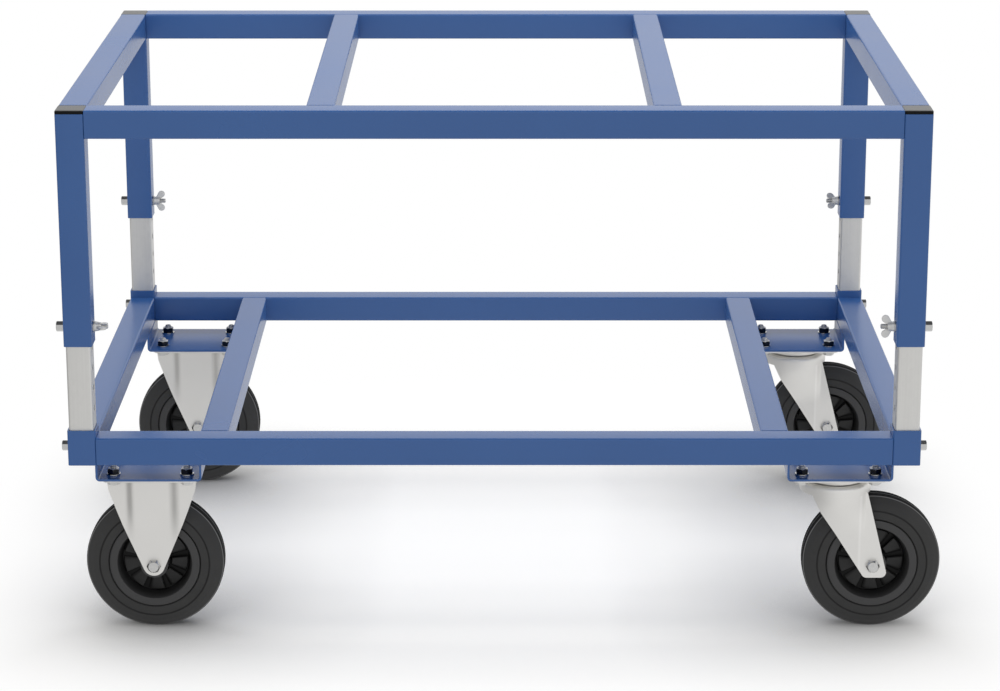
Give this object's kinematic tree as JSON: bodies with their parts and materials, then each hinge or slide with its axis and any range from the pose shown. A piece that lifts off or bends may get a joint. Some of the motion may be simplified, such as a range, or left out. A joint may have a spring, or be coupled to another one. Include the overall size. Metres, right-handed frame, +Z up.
{
  "type": "pallet dolly",
  "caption": "Wheeled open tube frame with fixed and swivel casters and a second frame on pinned telescopic legs, to carry a pallet at working height.",
  "frame": {"origin": "on the floor, under the middle of the frame", "axes": "+X along the long side towards the swivel casters, -Y the front that the picture shows, +Z up"},
  "size_m": [1.2631, 0.81, 0.777],
  "materials": {
    "blue_powder_coat": "satin powder coat",
    "galvanised_tube": "bright galvanised",
    "zinc_sheet": "zinc plated, satin",
    "bright_zinc": "zinc plated, bright",
    "bearing_steel": "ground",
    "black_rubber": "matt solid rubber",
    "black_rim": "moulded, matt",
    "black_cap": "moulded, satin"
  },
  "bodies": {
    "chassis": {"lower_front_rail": "blue_powder_coat", "lower_rear_rail": "blue_powder_coat", "lower_left_rail": "blue_powder_coat", "lower_right_rail": "blue_powder_coat", "lower_left_cross_member": "blue_powder_coat", "lower_right_cross_member": "blue_powder_coat", "corner_sockets": "blue_powder_coat", "caster_brackets": "blue_powder_coat", "leg_front_left": "galvanised_tube", "leg_front_right": "galvanised_tube", "leg_rear_left": "galvanised_tube", "leg_rear_right": "galvanised_tube", "leg_screws": "bright_zinc", "caster_bolts": "bright_zinc", "caster_washers": "bright_zinc", "caster_nuts": "bright_zinc", "fixed_fork_front": "zinc_sheet", "fixed_fork_rear": "zinc_sheet", "fixed_axles": "bright_zinc", "fixed_axle_sleeves": "bearing_steel", "swivel_plate_front": "zinc_sheet", "swivel_plate_rear": "zinc_sheet", "king_pins": "bearing_steel"},
    "upper_frame": {"upper_front_rail": "blue_powder_coat", "upper_rear_rail": "blue_powder_coat", "upper_left_rail": "blue_powder_coat", "upper_right_rail": "blue_powder_coat", "upper_left_cross_member": "blue_powder_coat", "upper_right_cross_member": "blue_powder_coat", "post_front_left": "blue_powder_coat", "post_front_right": "blue_powder_coat", "post_rear_left": "blue_powder_coat", "post_rear_right": "blue_powder_coat", "end_caps": "black_cap", "clamp_bolts": "bright_zinc", "clamp_washers": "bright_zinc"},
    "swivel_front": {"swivel_fork_front": "zinc_sheet", "swivel_balls_front": "bearing_steel", "swivel_axle_front": "bright_zinc", "swivel_axle_sleeve_front": "bearing_steel"},
    "swivel_rear": {"swivel_fork_rear": "zinc_sheet", "swivel_balls_rear": "bearing_steel", "swivel_axle_rear": "bright_zinc", "swivel_axle_sleeve_rear": "bearing_steel"},
    "wheel_front_left": {"tyre_front_left": "black_rubber", "rim_front_left": "black_rim", "roller_bearing_front_left": "bearing_steel"},
    "wheel_front_right": {"tyre_front_right": "black_rubber", "rim_front_right": "black_rim", "roller_bearing_front_right": "bearing_steel"},
    "wheel_rear_left": {"tyre_rear_left": "black_rubber", "rim_rear_left": "black_rim", "roller_bearing_rear_left": "bearing_steel"},
    "wheel_rear_right": {"tyre_rear_right": "black_rubber", "rim_rear_right": "black_rim", "roller_bearing_rear_right": "bearing_steel"},
    "wing_nut_front_left": {"wing_nut_front_left": "bright_zinc"},
    "wing_nut_front_right": {"wing_nut_front_right": "bright_zinc"},
    "wing_nut_rear_left": {"wing_nut_rear_left": "bright_zinc"},
    "wing_nut_rear_right": {"wing_nut_rear_right": "bright_zinc"}
  },
  "joints": [
    {"name": "upper_frame_height", "type": "slide", "parent": "chassis", "child": "upper_frame", "axis": [0, 0, 1], "range_m": [-0.12, 0.06]},
    {"name": "swivel_front_turn", "type": "hinge", "parent": "chassis", "child": "swivel_front", "pos_m": [0.4925, -0.334, 0.233], "axis": [0, 0, 1], "continuous": true},
    {"name": "swivel_rear_turn", "type": "hinge", "parent": "chassis", "child": "swivel_rear", "pos_m": [0.4925, 0.334, 0.233], "axis": [0, 0, 1], "continuous": true},
    {"name": "wheel_front_left_spin", "type": "hinge", "parent": "chassis", "child": "wheel_front_left", "pos_m": [-0.4925, -0.334, 0.1], "axis": [0, 1, 0], "continuous": true},
    {"name": "wheel_front_right_spin", "type": "hinge", "parent": "swivel_front", "child": "wheel_front_right", "pos_m": [0.5465, -0.334, 0.1], "axis": [0, 1, 0], "continuous": true},
    {"name": "wheel_rear_left_spin", "type": "hinge", "parent": "chassis", "child": "wheel_rear_left", "pos_m": [-0.4925, 0.334, 0.1], "axis": [0, 1, 0], "continuous": true},
    {"name": "wheel_rear_right_spin", "type": "hinge", "parent": "swivel_rear", "child": "wheel_rear_right", "pos_m": [0.5465, 0.334, 0.1], "axis": [0, 1, 0], "continuous": true},
    {"name": "wing_nut_front_left_turn", "type": "hinge", "parent": "upper_frame", "child": "wing_nut_front_left", "pos_m": [-0.555, -0.385, 0.464], "axis": [1, 0, 0], "continuous": true},
    {"name": "wing_nut_front_right_turn", "type": "hinge", "parent": "upper_frame", "child": "wing_nut_front_right", "pos_m": [0.555, -0.385, 0.464], "axis": [-1, 0, 0], "continuous": true},
    {"name": "wing_nut_rear_left_turn", "type": "hinge", "parent": "upper_frame", "child": "wing_nut_rear_left", "pos_m": [-0.555, 0.385, 0.464], "axis": [1, 0, 0], "continuous": true},
    {"name": "wing_nut_rear_right_turn", "type": "hinge", "parent": "upper_frame", "child": "wing_nut_rear_right", "pos_m": [0.555, 0.385, 0.464], "axis": [-1, 0, 0], "continuous": true}
  ]
}
